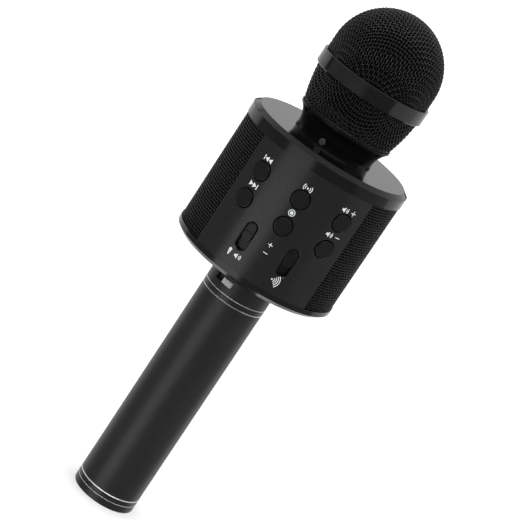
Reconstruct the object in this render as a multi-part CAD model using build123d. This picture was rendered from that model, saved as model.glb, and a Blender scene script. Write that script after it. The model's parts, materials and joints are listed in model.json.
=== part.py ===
from build123d import *
from math import cos, radians, sin, sqrt
import os

# Karaoke microphone that stands on the lower end of its handle, with its controls facing -Y.
# Millimetres, +Z up along the handle, origin at the centre of the end cap's lower face.
# Angles are degrees round the body from -Y, positive towards +X.

# ---------------------------------------------------------------- driving dimensions

# Gaps and fits
RUNNING_GAP = 0.30
SNUG_GAP = 0.10
CONTACT_GAP = 0.20
EDGE_TOLERANCE = 0.01

# Handle
HANDLE_RADIUS = 15.0
HANDLE_WALL = 1.2
END_CAP_HEIGHT = 3.8
END_CAP_FILLET = 0.9
END_CAP_SPIGOT = 8.2
END_CAP_WALL = 1.7
END_CAP_FLOOR = 2.0
END_CAP_DISH_RADIUS = 10.5
END_CAP_DISH_DEPTH = 0.5
SEAL_THICKNESS = 0.5
SEAL_INNER_MARGIN = 0.45
SEAL_OUTER_MARGIN = 0.55
TRIM_RING_HEIGHT = 3.0
TRIM_RING_CHAMFER = 0.35
TUBE_LENGTH = 102.5
TUBE_CHAMFER = 0.2
COLLAR_HEIGHT = 12.9
COLLAR_WALL = 1.5
COLLAR_FLARE = 1.3
COLLAR_SPIGOT = 9.3
COLLAR_FLANGE = 5.0
COLLAR_THROAT_STEP = 0.5

# Battery bay
CELL_RADIUS = 9.2
CELL_LENGTH = 65.0
CELL_NUB_RADIUS = 3.0
CELL_NUB_HEIGHT = 1.0
CELL_BASE = 14.0
BAY_WALL_GAP = 0.4
BAY_WEB = 1.0
CONTACT_THICKNESS = 0.8
CONTACT_MARGIN = 4.0
SPRING_RADIUS = 4.5
SPRING_WIRE = 0.7
SPRING_TURNS = 5

# Power switch, in a straight slot in the collar
SWITCH_ANGLE = -29.7
SWITCH_HEIGHT = 4.8
SWITCH_KNOB_LENGTH = 5.0
SWITCH_KNOB_HEIGHT = 2.7
SWITCH_KNOB_PROUD = 0.6
SWITCH_TRAVEL = 3.8
SWITCH_BODY_LENGTH = 11.0
SWITCH_BODY_HEIGHT = 5.6
SWITCH_BODY_DEPTH = 4.0

# Body
BODY_RADIUS = 38.7
BODY_HEIGHT = 64.3
BODY_WALL = 2.0
BOTTOM_COVER_HEIGHT = 4.3
BOTTOM_CHAMFER_HEIGHT = 1.9
TOP_COVER_HEIGHT = 6.5
COVER_CHAMFER_WIDTH = 2.4
TOP_CHAMFER_HEIGHT = 1.8
PANEL_HALF_ANGLE = 43.6
PANEL_SIDE_GAP = 0.3
GRILLE_RECESS = 0.3
GRILLE_THICKNESS = 1.0

# Inner frame
FRAME_RING_HEIGHT = 3.0
FRAME_RING_WIDTH = 6.5
POST_DEPTH = 5.4
POST_HALF_ANGLE = 3.5
SPEAKER_WALL = 2.0
SPEAKER_WALL_HALF_WIDTH = 25.0

# Speakers, one behind each side grille
SPEAKER_MARGIN = 3.25
SPEAKER_FLANGE = 1.5
SPEAKER_LIP = 3.0
SPEAKER_DEPTH = 10.0
SPEAKER_SHEET = 1.0
MAGNET_RADIUS = 11.0
MAGNET_HEIGHT = 8.0
CONE_SHEET = 0.6
GASKET_THICKNESS = 0.8

# Boards
BOARD_THICKNESS = 1.6
FLEX_THICKNESS = 0.8
FLEX_SETBACK = 4.7
FLEX_HALF_ANGLE = 40.0
MAIN_BOARD_Y = 22.2
MAIN_BOARD_MARGIN = 5.8

# Push buttons: two rows of three
BUTTON_RADIUS = 3.9
BUTTON_ANGLES = (-30.6, 0.0, 30.6)
BUTTON_TOP_ROW = 12.7
BUTTON_ROW_PITCH = 13.3
BUTTON_PROUD = 0.35
BUTTON_FILLET = 0.4
BUTTON_LIP = 1.0
BUTTON_LIP_THICKNESS = 0.7
BUTTON_TRAVEL = 0.6
BUTTON_STEM_RADIUS = 1.5
TACT_RADIUS = 2.2
TACT_HEIGHT = 1.2
PLUNGER_RADIUS = 0.9
PLUNGER_HEIGHT = 0.5
EDGE_CHAMFER = 0.4

# Sliding level controls
FADER_ANGLES = (-15.5, 15.5)
FADER_SLOT_BASE = 8.3
FADER_SLOT_LENGTH = 13.5
FADER_SLOT_WIDTH = 5.3
FADER_TRAVEL = 4.3
FADER_SETBACK = 0.35
FADER_SHIELD_THICKNESS = 0.8
FADER_SHIELD_HALF_WIDTH = 3.7
FADER_SHIELD_OVERHANG = 0.6
FADER_HOUSING_DEPTH = 2.0
FADER_HOUSING_HALF_WIDTH = 3.5
FADER_STEM_WIDTH = 1.6
FADER_GROOVE = 0.35

# Sockets in the rear panel, evenly spaced from the card slot down to the jack
PORT_GAP = 0.2
PORT_SETBACK = 1.1
PORT_CORNER = 0.4
CARD_DROP = 8.0
JACK_RISE = 14.0
CARD_SIZE = (12.4, 2.6)
CARD_MOUTH = (11.2, 1.1)
USB_SIZE = (13.6, 6.2)
USB_MOUTH = (12.4, 5.1)
USB_TONGUE = (11.0, 1.8)
CHARGE_SIZE = (8.0, 3.2)
CHARGE_MOUTH = (6.9, 2.2)
CHARGE_TONGUE = (4.4, 0.6)
PORT_MOUTH_DEPTH = 9.0
TONGUE_SETBACK = 1.0
JACK_RADIUS = 3.1
JACK_BORE_RADIUS = 1.8
JACK_BORE_LENGTH = 13.0
JACK_PROUD = 0.35
JACK_BLOCK = (9.0, 8.0)
JACK_BLOCK_GAP = 2.0

# Screws that close the body from below
SCREW_RADIUS = 1.0
SCREW_LENGTH = 10.0
SCREW_HEAD_RADIUS = 2.0
SCREW_HEAD_HEIGHT = 1.2
SCREW_INSET = 3.5
SCREW_DRIVE_WIDTH = 0.6

# Neck
NECK_HEIGHT = 10.6
NECK_FOOT_RADIUS = 18.8
NECK_WAIST_RADIUS = 18.4
NECK_WAIST_RISE = 1.4
NECK_FLARE_RISE = 0.8
NECK_FLARE_SHARE = 0.30
NECK_RIM_RADIUS = 22.0
NECK_RIM_HEIGHT = 0.9
NECK_WALL = 2.2
NECK_SPIGOT = 6.0
NECK_SPIGOT_STEP = 0.9
NECK_NUT_HEIGHT = 3.2
NECK_NUT_WIDTH = 4.0
LENS_ANGLE = -16.4
LENS_RISE = 2.0
LENS_RADIUS = 1.5
LENS_PROUD = 0.3

# Grille head, which screws onto the neck
HEAD_RADIUS = 25.0
MESH_THICKNESS = 1.0
BASKET_HEIGHT = 16.5
BASKET_BASE_INSET = 0.3
BASKET_TOP_INSET = 0.2
BASKET_BELLY = 0.45
BAND_HEIGHT = 6.8
BAND_PROUD = 0.9
BAND_WALL = 1.9
BAND_CHAMFER = 0.25
DOME_STRAIGHT = 5.8
THREAD_RADIUS = 18.9
THREAD_LENGTH = 5.1
THREAD_RING_HEIGHT = 5.8
THREAD_RING_WALL = 1.5
WASHER_THICKNESS = 0.4
FOAM_THICKNESS = 4.0
FOAM_GAP = 0.15

# Microphone capsule in its rubber cup
CAPSULE_RADIUS = 11.0
CAPSULE_LENGTH = 18.0
CAPSULE_FILLET = 3.0
CUP_WALL = 3.0
CUP_FLOOR = 2.4
CUP_HEIGHT = 10.4
LEAD_HOLE_RADIUS = 3.0

# Leads
LEAD_BEND_RADIUS = 6.0
LEAD_BEND_RUN = 12.0
LEAD_BOARD_MARGIN = 8.0
CAPSULE_LEAD_RADIUS = 1.0
BATTERY_LEAD_RADIUS = 0.7
BATTERY_LEAD_SPACING = 1.6
SPEAKER_LEAD_RADIUS = 0.6

# ---------------------------------------------------------------- worked-out heights and radii

tube_base = END_CAP_HEIGHT + TRIM_RING_HEIGHT
tube_top = tube_base + TUBE_LENGTH
collar_base = tube_top + TRIM_RING_HEIGHT
body_base = collar_base + COLLAR_HEIGHT
body_top = body_base + BODY_HEIGHT
panel_base = body_base + BOTTOM_COVER_HEIGHT
panel_top = body_top - TOP_COVER_HEIGHT
frame_base = panel_base + FRAME_RING_HEIGHT
frame_top = panel_top - FRAME_RING_HEIGHT
body_inner = BODY_RADIUS - BODY_WALL
frame_outer = body_inner - SNUG_GAP
neck_top = body_top + NECK_HEIGHT
neck_spigot_radius = NECK_WAIST_RADIUS - NECK_SPIGOT_STEP
head_base = neck_top + WASHER_THICKNESS
band_base = head_base + BASKET_HEIGHT
band_top = band_base + BAND_HEIGHT
dome_centre = band_top + DOME_STRAIGHT

tube_inner = HANDLE_RADIUS - HANDLE_WALL
collar_inner = HANDLE_RADIUS - COLLAR_WALL
cap_spigot_radius = tube_inner - 2 * RUNNING_GAP
seal_inner = cap_spigot_radius + SEAL_INNER_MARGIN
seal_outer = HANDLE_RADIUS - SEAL_OUTER_MARGIN
seal_base = END_CAP_HEIGHT - SEAL_THICKNESS
collar_spigot_outer = tube_inner - SNUG_GAP
collar_spigot_inner = collar_spigot_outer - COLLAR_WALL
collar_throat = HANDLE_RADIUS - COLLAR_THROAT_STEP
cell_top = CELL_BASE + CELL_LENGTH
bay_radius = tube_inner - SNUG_GAP
contact_base = cell_top + CELL_NUB_HEIGHT
contact_radius = collar_spigot_inner - CONTACT_MARGIN

flex_radius = body_inner - FLEX_SETBACK
button_lip_top = sqrt(body_inner**2 - (BUTTON_RADIUS + BUTTON_LIP) ** 2) - RUNNING_GAP
button_lip_base = button_lip_top - BUTTON_LIP_THICKNESS
tact_top = flex_radius + TACT_HEIGHT
plunger_top = tact_top + PLUNGER_HEIGHT
stem_base = plunger_top + SNUG_GAP + BUTTON_TRAVEL
button_hole_radius = BUTTON_RADIUS + RUNNING_GAP
button_rows = (panel_top - BUTTON_TOP_ROW, panel_top - BUTTON_TOP_ROW - BUTTON_ROW_PITCH)

fader_knob_width = FADER_SLOT_WIDTH - 2 * RUNNING_GAP
fader_knob_length = FADER_SLOT_LENGTH - FADER_TRAVEL - 2 * RUNNING_GAP
fader_slot_centre = panel_base + FADER_SLOT_BASE + FADER_SLOT_LENGTH / 2
fader_rest = fader_slot_centre + FADER_TRAVEL / 2
fader_shield_top = body_inner - 2 * RUNNING_GAP

speaker_height = (panel_base + panel_top) / 2
speaker_radius = (panel_top - panel_base) / 2 - FRAME_RING_HEIGHT - SPEAKER_MARGIN
speaker_front = sqrt((frame_outer - 2 * RUNNING_GAP) ** 2 - speaker_radius**2)
speaker_seat = speaker_front - SPEAKER_FLANGE
speaker_throat = speaker_radius - SPEAKER_LIP
speaker_back = speaker_seat - SPEAKER_DEPTH
basket_mouth = speaker_radius - SPEAKER_FLANGE

board_back = MAIN_BOARD_Y + BOARD_THICKNESS
card_height = panel_top - CARD_DROP
jack_height = panel_base + JACK_RISE
socket_pitch = (card_height - jack_height) / 3
usb_height = card_height - socket_pitch
charge_height = usb_height - socket_pitch
board_half_width = sqrt((body_inner - MAIN_BOARD_MARGIN) ** 2 - board_back**2)

switch_slot_length = SWITCH_KNOB_LENGTH + SWITCH_TRAVEL + 2 * RUNNING_GAP
switch_centre = collar_base + SWITCH_HEIGHT
switch_rest = SWITCH_TRAVEL / 2
switch_body_face = sqrt((collar_inner - RUNNING_GAP) ** 2 - (SWITCH_BODY_LENGTH / 2) ** 2)

screw_circle = body_inner - SCREW_INSET
post_angles = (-PANEL_HALF_ANGLE, PANEL_HALF_ANGLE, 180 - PANEL_HALF_ANGLE, 180 + PANEL_HALF_ANGLE)

# ---------------------------------------------------------------- shared shapes


def tube(outer, inner, base, top):
    """Upright ring between two heights."""
    return Pos(0, 0, base) * extrude(Circle(outer) - Circle(inner), top - base)


def rod(radius, base, top):
    """Upright cylinder between two heights."""
    return Pos(0, 0, base) * extrude(Circle(radius), top - base)


def turned(*outline):
    """Solid of revolution from a closed outline of (radius, height) corners."""
    return revolve(Plane.XZ * make_face(Polyline(*outline, close=True)), Axis.Z)


def circles_of(solid, radius):
    """The round edges of that radius."""
    circles = solid.edges().filter_by(GeomType.CIRCLE)
    return circles.filter_by(lambda edge: abs(edge.radius - radius) < EDGE_TOLERANCE)


def facing(angle, height, depth):
    """Frame on the side of the body: x along the tangent, y up, z straight out."""
    turn = radians(angle)
    outward = Vector(sin(turn), -cos(turn), 0)
    tangent = Vector(cos(turn), sin(turn), 0)
    return Plane(outward * depth + Vector(0, 0, height), x_dir=tangent, z_dir=outward).location


def peg(radius, length):
    return Cylinder(radius, length, align=(Align.CENTER, Align.CENTER, Align.MIN))


def slab(width, height, length):
    return Box(width, height, length, align=(Align.CENTER, Align.CENTER, Align.MIN))


def curved_wall(outer, inner, base, top, centre, half_angle):
    """Part of an upright ring, half_angle to each side of the centre angle."""
    start = radians(centre - half_angle)
    outward = Vector(sin(start), -cos(start), 0)
    edge_plane = Plane((0, 0, 0), x_dir=outward, z_dir=Vector(-cos(start), -sin(start), 0))
    section = Pos((outer + inner) / 2, (base + top) / 2) * Rectangle(outer - inner, top - base)
    return revolve(edge_plane * section, Axis.Z, revolution_arc=2 * half_angle)


def bent_lead(radius, points, bends):
    """Round lead of straight runs joined by tangent arcs."""
    path = FilletPolyline(*points, radius=bends)
    start = Plane(path @ 0, z_dir=path % 0)
    return sweep(start * Circle(radius), path)


def chamfered_cut(face, depth):
    """Cutter that leaves a chamfer on an outer edge at z = 0 and goes in by depth."""
    through = Pos(0, 0, -depth) * extrude(face, depth + 2 * EDGE_CHAMFER)
    sunk = Pos(0, 0, -EDGE_CHAMFER) * extrude(face, 3 * EDGE_CHAMFER, taper=-45)
    return through + sunk


# ---------------------------------------------------------------- handle


def end_cap():
    """Screw cap: a disc with a dished foot, and a hollow spigot for the spring."""
    foot = rod(HANDLE_RADIUS, 0, END_CAP_HEIGHT)
    foot = fillet(foot.edges().group_by(Axis.Z)[0], END_CAP_FILLET)
    spigot = rod(cap_spigot_radius, END_CAP_HEIGHT, END_CAP_HEIGHT + END_CAP_SPIGOT)
    cavity = rod(cap_spigot_radius - END_CAP_WALL, END_CAP_FLOOR, END_CAP_HEIGHT + END_CAP_SPIGOT)
    groove = tube(seal_outer + SNUG_GAP, seal_inner - SNUG_GAP, seal_base, END_CAP_HEIGHT)
    dish = rod(END_CAP_DISH_RADIUS, 0, END_CAP_DISH_DEPTH)
    return foot + spigot - cavity - groove - dish


def end_cap_seal():
    return tube(seal_outer, seal_inner, seal_base, END_CAP_HEIGHT)


def trim_ring(base, inner):
    """Band with a narrow cut chamfer along each outer edge."""
    top = base + TRIM_RING_HEIGHT
    band = tube(HANDLE_RADIUS, inner, base, top)
    return chamfer(circles_of(band, HANDLE_RADIUS), TRIM_RING_CHAMFER)


def handle_tube():
    barrel = tube(HANDLE_RADIUS, tube_inner, tube_base, tube_top)
    return chamfer(circles_of(barrel, HANDLE_RADIUS), TUBE_CHAMFER)


def handle_collar():
    """Collar between the tube and the body, with a spigot below and a flange above."""
    spigot_base = tube_top - COLLAR_SPIGOT
    floor_top = body_base + BODY_WALL
    flange = HANDLE_RADIUS + COLLAR_FLANGE
    shell = turned(
        (collar_spigot_inner, spigot_base),
        (collar_spigot_outer, spigot_base),
        (collar_spigot_outer, collar_base),
        (HANDLE_RADIUS, collar_base),
        (HANDLE_RADIUS, body_base - COLLAR_FLARE),
        (HANDLE_RADIUS + COLLAR_FLARE, body_base),
        (collar_throat, body_base),
        (collar_throat, floor_top),
        (flange, floor_top),
        (flange, floor_top + BODY_WALL),
        (collar_inner, floor_top + BODY_WALL),
        (collar_inner, collar_base),
        (collar_spigot_inner, collar_base),
    )
    slot = slab(switch_slot_length, SWITCH_KNOB_HEIGHT + 2 * RUNNING_GAP, HANDLE_RADIUS)
    return shell - facing(SWITCH_ANGLE, switch_centre, collar_inner / 2) * slot


def power_switch_knob():
    """Knob in its slot, at the end nearer the front when switched off."""
    length = HANDLE_RADIUS + SWITCH_KNOB_PROUD - switch_body_face - SNUG_GAP
    knob = slab(SWITCH_KNOB_LENGTH, SWITCH_KNOB_HEIGHT, length)
    knob = fillet(knob.faces().sort_by(Axis.Z)[-1].edges(), EDGE_CHAMFER)
    return facing(SWITCH_ANGLE, switch_centre, switch_body_face + SNUG_GAP) * Pos(switch_rest, 0, 0) * knob


def power_switch_body():
    body = slab(SWITCH_BODY_LENGTH, SWITCH_BODY_HEIGHT, SWITCH_BODY_DEPTH)
    return facing(SWITCH_ANGLE, switch_centre, switch_body_face - SWITCH_BODY_DEPTH) * body


def battery_sleeve():
    """Plastic sleeve that centres the cell and holds the upper contact."""
    barrel = tube(bay_radius, CELL_RADIUS + BAY_WALL_GAP, CELL_BASE - BAY_WEB, cell_top)
    web = tube(bay_radius, CELL_NUB_RADIUS + BAY_WEB, cell_top, contact_base)
    holder_inner = contact_radius + SNUG_GAP
    holder = tube(holder_inner + BAY_WEB, holder_inner, contact_base, contact_base + 2 * CONTACT_THICKNESS)
    return barrel + web + holder


def battery_cell():
    cell = rod(CELL_RADIUS, CELL_BASE, cell_top)
    return cell + rod(CELL_NUB_RADIUS, cell_top, contact_base)


def battery_contact():
    return rod(contact_radius, contact_base, contact_base + CONTACT_THICKNESS)


def cap_contact():
    radius = cap_spigot_radius - END_CAP_WALL - CONTACT_GAP
    return rod(radius, END_CAP_FLOOR, END_CAP_FLOOR + CONTACT_THICKNESS)


def battery_spring():
    """Coil spring between the end cap's contact and the cell."""
    base = END_CAP_FLOOR + CONTACT_THICKNESS + SPRING_WIRE
    height = CELL_BASE - SPRING_WIRE - base
    coil = Helix(height / SPRING_TURNS, height, SPRING_RADIUS)
    section = Plane(coil @ 0, z_dir=coil % 0) * Circle(SPRING_WIRE / 2)
    return Pos(0, 0, base) * sweep(section, coil, is_frenet=True)


# ---------------------------------------------------------------- body


def bottom_cover():
    """Shallow dish that closes the body from below."""
    floor_top = body_base + BODY_WALL
    collar_hole = collar_throat + SNUG_GAP
    cover = turned(
        (collar_hole, body_base),
        (BODY_RADIUS - COVER_CHAMFER_WIDTH, body_base),
        (BODY_RADIUS, body_base + BOTTOM_CHAMFER_HEIGHT),
        (BODY_RADIUS, panel_base),
        (body_inner, panel_base),
        (body_inner, floor_top),
        (collar_hole, floor_top),
    )
    for angle in post_angles:
        seat = facing(angle, 0, screw_circle).position
        cover -= Pos(seat.X, seat.Y, body_base) * peg(SCREW_HEAD_RADIUS + SNUG_GAP, SCREW_HEAD_HEIGHT)
        cover -= Pos(seat.X, seat.Y, body_base) * peg(SCREW_RADIUS + SNUG_GAP, BODY_WALL)
    return cover


def top_cover():
    """Cover with a bevelled rim and a hole for the neck's spigot."""
    ceiling = body_top - BODY_WALL
    neck_hole = neck_spigot_radius + SNUG_GAP
    return turned(
        (neck_hole, ceiling),
        (body_inner, ceiling),
        (body_inner, panel_top),
        (BODY_RADIUS, panel_top),
        (BODY_RADIUS, body_top - TOP_CHAMFER_HEIGHT),
        (BODY_RADIUS - COVER_CHAMFER_WIDTH, body_top),
        (neck_hole, body_top),
    )


def panel_blank(centre):
    return curved_wall(BODY_RADIUS, body_inner, panel_base, panel_top, centre, PANEL_HALF_ANGLE)


def front_panel():
    """Control panel with six button holes and two slots."""
    panel = panel_blank(0)
    for height in button_rows:
        for angle in BUTTON_ANGLES:
            cutter = chamfered_cut(Circle(button_hole_radius), 2 * BODY_WALL)
            panel -= facing(angle, height, BODY_RADIUS) * cutter
    for angle in FADER_ANGLES:
        outline = Rot(0, 0, 90) * SlotOverall(FADER_SLOT_LENGTH, FADER_SLOT_WIDTH)
        panel -= facing(angle, fader_slot_centre, BODY_RADIUS) * chamfered_cut(outline, 2 * BODY_WALL)
    return panel


def rear_panel():
    """Rear wall with an opening for each socket."""
    panel = panel_blank(180)
    sockets = ((card_height, CARD_SIZE), (usb_height, USB_SIZE), (charge_height, CHARGE_SIZE))
    for height, size in sockets:
        width, depth = size[0] + 2 * PORT_GAP, size[1] + 2 * PORT_GAP
        hole = RectangleRounded(width, depth, PORT_GAP + PORT_CORNER)
        panel -= facing(180, height, BODY_RADIUS) * chamfered_cut(hole, 2 * BODY_WALL)
    jack_hole = Circle(JACK_RADIUS + SNUG_GAP)
    return panel - facing(180, jack_height, BODY_RADIUS) * chamfered_cut(jack_hole, 2 * BODY_WALL)


def side_grille(centre):
    outer = BODY_RADIUS - GRILLE_RECESS
    half_angle = 90 - PANEL_HALF_ANGLE - PANEL_SIDE_GAP
    return curved_wall(outer, outer - GRILLE_THICKNESS, panel_base, panel_top, centre, half_angle)


def chassis():
    """Inner frame: two rings, four screw posts and two speaker walls."""
    ring_inner = frame_outer - FRAME_RING_WIDTH
    frame = tube(frame_outer, ring_inner, panel_base, frame_base)
    frame += tube(frame_outer, ring_inner, frame_top, panel_top)
    post_inner = frame_outer - POST_DEPTH
    for angle in post_angles:
        frame += curved_wall(frame_outer, post_inner, panel_base, panel_top, angle, POST_HALF_ANGLE)
    for side in (-1, 1):
        wall = Box(SPEAKER_WALL, 2 * SPEAKER_WALL_HALF_WIDTH, frame_top - frame_base)
        wall = Pos(side * (speaker_seat - SPEAKER_WALL / 2), 0, speaker_height) * wall
        wall &= rod(frame_outer, panel_base, panel_top)
        opening = Rot(0, 90, 0) * Cylinder(speaker_radius - SPEAKER_FLANGE / 2, 4 * SPEAKER_WALL)
        frame += wall - Pos(side * speaker_seat, 0, speaker_height) * opening
    for angle in post_angles:
        seat = facing(angle, 0, screw_circle).position
        frame -= Pos(seat.X, seat.Y, panel_base) * peg(SCREW_RADIUS + SNUG_GAP, SCREW_LENGTH)
    return frame


def cover_screws():
    """Four screws with sunk heads and a cross recess, through the bottom cover into the posts."""
    screws = []
    for angle in post_angles:
        seat = facing(angle, 0, screw_circle).position
        screw = peg(SCREW_HEAD_RADIUS, SCREW_HEAD_HEIGHT)
        screw += Pos(0, 0, SCREW_HEAD_HEIGHT) * peg(SCREW_RADIUS, SCREW_LENGTH)
        for turn in (0, 90):
            screw -= Rot(0, 0, turn) * slab(2 * SCREW_RADIUS, SCREW_DRIVE_WIDTH, SCREW_HEAD_HEIGHT / 2)
        screws.append(Pos(seat.X, seat.Y, body_base) * screw)
    return Compound(children=screws)


# ---------------------------------------------------------------- speakers


def sideways(side, outline):
    """Solid turned about the speaker's axis from (radius, distance from the centre) corners."""
    solid = turned(*outline)
    return Pos(0, 0, speaker_height) * Rot(0, 90 * side, 0) * solid


def speaker_frame(side):
    """Steel basket: flange, sloping wall and back plate."""
    return sideways(
        side,
        (
            (0, speaker_back - SPEAKER_SHEET),
            (MAGNET_RADIUS + SPEAKER_SHEET, speaker_back - SPEAKER_SHEET),
            (basket_mouth, speaker_seat - SPEAKER_WALL),
            (basket_mouth, speaker_seat),
            (speaker_radius, speaker_seat),
            (speaker_radius, speaker_front),
            (speaker_throat, speaker_front),
            (speaker_throat, speaker_seat),
            (speaker_throat, speaker_seat - SPEAKER_WALL),
            (MAGNET_RADIUS, speaker_back),
            (0, speaker_back),
        ),
    )


def speaker_cone(side):
    """Paper cone with a dust cap in its middle."""
    rim = speaker_throat - SNUG_GAP
    cap = rim / 3
    bottom = speaker_back + SPEAKER_SHEET
    return sideways(
        side,
        (
            (0, bottom + cap / 2),
            (cap, bottom),
            (rim, speaker_seat),
            (rim, speaker_seat + CONE_SHEET),
            (cap, bottom + CONE_SHEET),
            (0, bottom + cap / 2 + CONE_SHEET),
        ),
    )


def speaker_magnet(side):
    top = speaker_back - SPEAKER_SHEET
    bottom = top - MAGNET_HEIGHT
    return sideways(side, ((0, bottom), (MAGNET_RADIUS, bottom), (MAGNET_RADIUS, top), (0, top)))


def speaker_gasket(side):
    front = speaker_front + GASKET_THICKNESS
    return sideways(
        side,
        ((speaker_throat, speaker_front), (speaker_radius, speaker_front), (speaker_radius, front),
         (speaker_throat, front)),
    )


# ---------------------------------------------------------------- controls


def push_button(angle, height):
    """Crowned cap, a lip that stops it from falling out, and a stem."""
    cap_top = BODY_RADIUS + BUTTON_PROUD
    cap = peg(BUTTON_RADIUS, cap_top - button_lip_top)
    cap = fillet(cap.edges().group_by(Axis.Z)[-1], BUTTON_FILLET)
    lip = peg(BUTTON_RADIUS + BUTTON_LIP, BUTTON_LIP_THICKNESS)
    stem = peg(BUTTON_STEM_RADIUS, button_lip_base - stem_base)
    button = facing(angle, height, button_lip_top) * cap
    button += facing(angle, height, button_lip_base) * lip
    return button + facing(angle, height, stem_base) * stem


def fader_knob(angle):
    """Rounded knob with a thumb groove, a dust shield behind the panel and a stem."""
    knob_top = BODY_RADIUS - FADER_SETBACK
    outline = Rot(0, 0, 90) * SlotOverall(fader_knob_length, fader_knob_width)
    knob = extrude(outline, knob_top - fader_shield_top)
    knob = fillet(knob.faces().sort_by(Axis.Z)[-1].edges(), FADER_GROOVE)
    groove = Rot(0, 90, 0) * Cylinder(FADER_GROOVE, FADER_SLOT_WIDTH)
    knob -= Pos(0, 0, knob_top - fader_shield_top) * groove
    shield_length = FADER_SLOT_LENGTH + FADER_TRAVEL + 2 * FADER_SHIELD_OVERHANG
    shield = slab(2 * FADER_SHIELD_HALF_WIDTH, shield_length, FADER_SHIELD_THICKNESS)
    stem_floor = flex_radius + FADER_HOUSING_DEPTH + CONTACT_GAP
    shield_floor = fader_shield_top - FADER_SHIELD_THICKNESS
    stem = slab(FADER_STEM_WIDTH, 2 * FADER_STEM_WIDTH, shield_floor - stem_floor)
    part = facing(angle, fader_rest, fader_shield_top) * knob
    part += facing(angle, fader_rest, shield_floor) * shield
    return part + facing(angle, fader_rest, stem_floor) * stem


def button_board():
    """Flexible circuit curved round behind the control panel."""
    inner = flex_radius - FLEX_THICKNESS
    return curved_wall(flex_radius, inner, frame_base, frame_top, 0, FLEX_HALF_ANGLE)


def tact_switches():
    switches = []
    for height in button_rows:
        for angle in BUTTON_ANGLES:
            switch = peg(TACT_RADIUS, TACT_HEIGHT) + peg(PLUNGER_RADIUS, TACT_HEIGHT + PLUNGER_HEIGHT)
            switches.append(facing(angle, height, flex_radius) * switch)
    return Compound(children=switches)


def fader_housings():
    length = FADER_SLOT_LENGTH + FADER_TRAVEL
    box = slab(2 * FADER_HOUSING_HALF_WIDTH, length, FADER_HOUSING_DEPTH)
    return Compound(children=[facing(angle, fader_slot_centre, flex_radius) * box for angle in FADER_ANGLES])


def main_board():
    board = Box(2 * board_half_width, BOARD_THICKNESS, frame_top - frame_base)
    return Pos(0, MAIN_BOARD_Y + BOARD_THICKNESS / 2, (frame_base + frame_top) / 2) * board


# ---------------------------------------------------------------- sockets


def socket_block(height, size, mouth, tongue=None):
    """Socket shell from the main board to just inside the rear panel's face."""
    length = BODY_RADIUS - PORT_SETBACK - board_back
    block = slab(size[0], size[1], length)
    block -= Pos(0, 0, length - PORT_MOUTH_DEPTH) * slab(mouth[0], mouth[1], PORT_MOUTH_DEPTH)
    if tongue:
        reach = PORT_MOUTH_DEPTH - TONGUE_SETBACK
        block += Pos(0, 0, length - PORT_MOUTH_DEPTH) * slab(tongue[0], tongue[1], reach)
    return facing(180, height, board_back) * block


def aux_jack_socket():
    """Round socket whose nose stands a little proud of the rear panel."""
    block = slab(*JACK_BLOCK, body_inner - board_back - JACK_BLOCK_GAP)
    length = BODY_RADIUS + JACK_PROUD - board_back
    barrel = peg(JACK_RADIUS, length)
    bore = Pos(0, 0, length - JACK_BORE_LENGTH) * peg(JACK_BORE_RADIUS, JACK_BORE_LENGTH)
    return facing(180, jack_height, board_back) * (block + barrel - bore)


# ---------------------------------------------------------------- neck


def neck_housing():
    """Flared neck: a threaded spigot above, a plain spigot through the cover below."""
    waist = body_top + NECK_WAIST_RISE
    rim_base = neck_top - NECK_RIM_HEIGHT
    thread_top = neck_top + THREAD_LENGTH
    spigot_base = body_top - NECK_SPIGOT
    inner = NECK_WAIST_RADIUS - NECK_WALL
    flare_radius = NECK_WAIST_RADIUS + NECK_FLARE_SHARE * (NECK_RIM_RADIUS - NECK_WAIST_RADIUS)
    flare_middle = (flare_radius, (waist + rim_base) / 2 + NECK_FLARE_RISE)
    foot = Line((NECK_FOOT_RADIUS, body_top), (NECK_WAIST_RADIUS, waist))
    flare = ThreePointArc((NECK_WAIST_RADIUS, waist), flare_middle, (NECK_RIM_RADIUS, rim_base))
    upper = Polyline(
        (NECK_RIM_RADIUS, rim_base),
        (NECK_RIM_RADIUS, neck_top),
        (THREAD_RADIUS, neck_top),
        (THREAD_RADIUS, thread_top),
        (LEAD_HOLE_RADIUS, thread_top),
        (LEAD_HOLE_RADIUS, thread_top - NECK_WALL),
        (inner, thread_top - NECK_WALL),
        (inner, spigot_base),
        (neck_spigot_radius, spigot_base),
        (neck_spigot_radius, body_top),
        (NECK_FOOT_RADIUS, body_top),
    )
    body = revolve(Plane.XZ * make_face(foot + flare + upper), Axis.Z)
    return body - facing(LENS_ANGLE, body_top + LENS_RISE, 0) * peg(LENS_RADIUS, 2 * NECK_RIM_RADIUS)


def neck_lock_nut():
    ceiling = body_top - BODY_WALL
    inner = neck_spigot_radius + SNUG_GAP / 2
    return tube(inner + NECK_NUT_WIDTH, inner, ceiling - NECK_NUT_HEIGHT, ceiling)


def status_led_lens():
    inner = NECK_WAIST_RADIUS - NECK_WALL
    lens = peg(LENS_RADIUS, NECK_WALL + LENS_PROUD)
    lens = fillet(lens.edges().group_by(Axis.Z)[-1], LENS_PROUD)
    return facing(LENS_ANGLE, body_top + LENS_RISE, inner) * lens


# ---------------------------------------------------------------- grille head


def basket_arc(inset):
    """Side of the lower basket, moved in by inset, as a gently bellied arc."""
    low = (NECK_RIM_RADIUS - BASKET_BASE_INSET - inset, head_base)
    high = (HEAD_RADIUS - BASKET_TOP_INSET - inset, band_base)
    middle = ((low[0] + high[0]) / 2 + BASKET_BELLY, (low[1] + high[1]) / 2)
    return low, middle, high


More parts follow.
